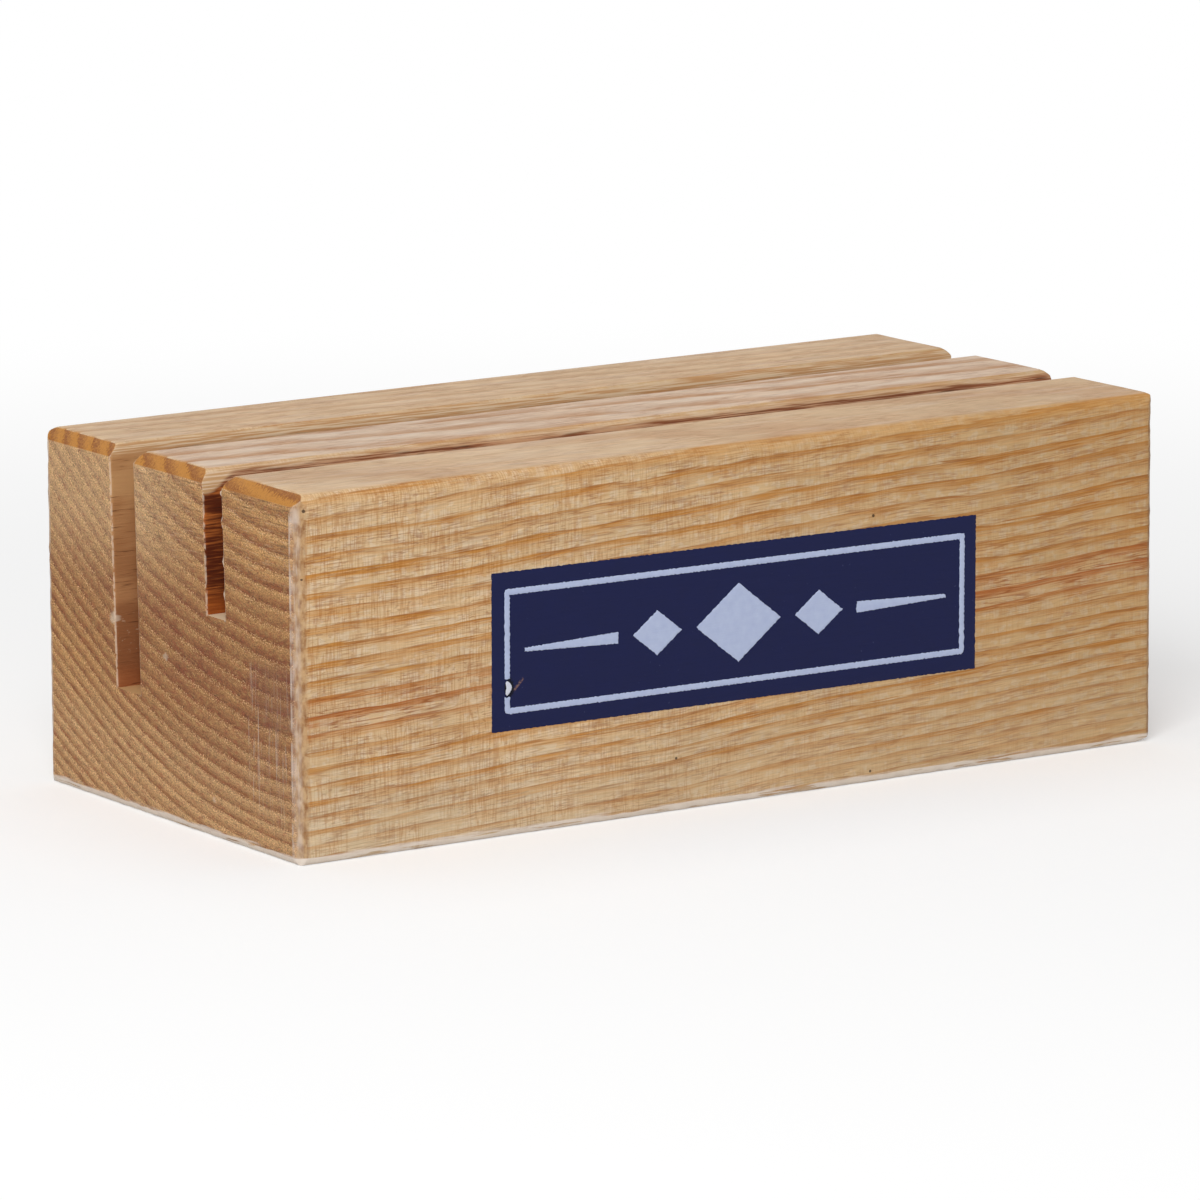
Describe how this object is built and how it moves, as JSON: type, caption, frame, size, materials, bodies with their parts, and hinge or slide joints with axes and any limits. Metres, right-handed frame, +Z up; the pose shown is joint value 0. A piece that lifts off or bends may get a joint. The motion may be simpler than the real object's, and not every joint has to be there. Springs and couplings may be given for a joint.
{
  "type": "table card holder",
  "caption": "Free-standing wooden block that holds upright table cards in a shallow front slot and a deep rear slot, with a printed panel on its front face.",
  "frame": {"origin": "middle of the flat face that the block stands on", "axes": "+X along the block and its slots, -Y out of the printed front face, +Z up out of the slots"},
  "size_m": [0.142, 0.0672, 0.05],
  "materials": {
    "ash": "clear satin lacquer over open ring-porous grain, bare and pale where the edges are worn",
    "blue_ink": "screen-printed ink, satin",
    "white_ink": "screen-printed ink over the blue, satin"
  },
  "bodies": {
    "root": {"wood_block": "ash", "label_panel": "blue_ink", "label_border": "white_ink", "label_lozenge": "white_ink", "label_lozenge_left": "white_ink", "label_lozenge_right": "white_ink", "label_rule_left": "white_ink", "label_rule_right": "white_ink"}
  },
  "joints": []
}
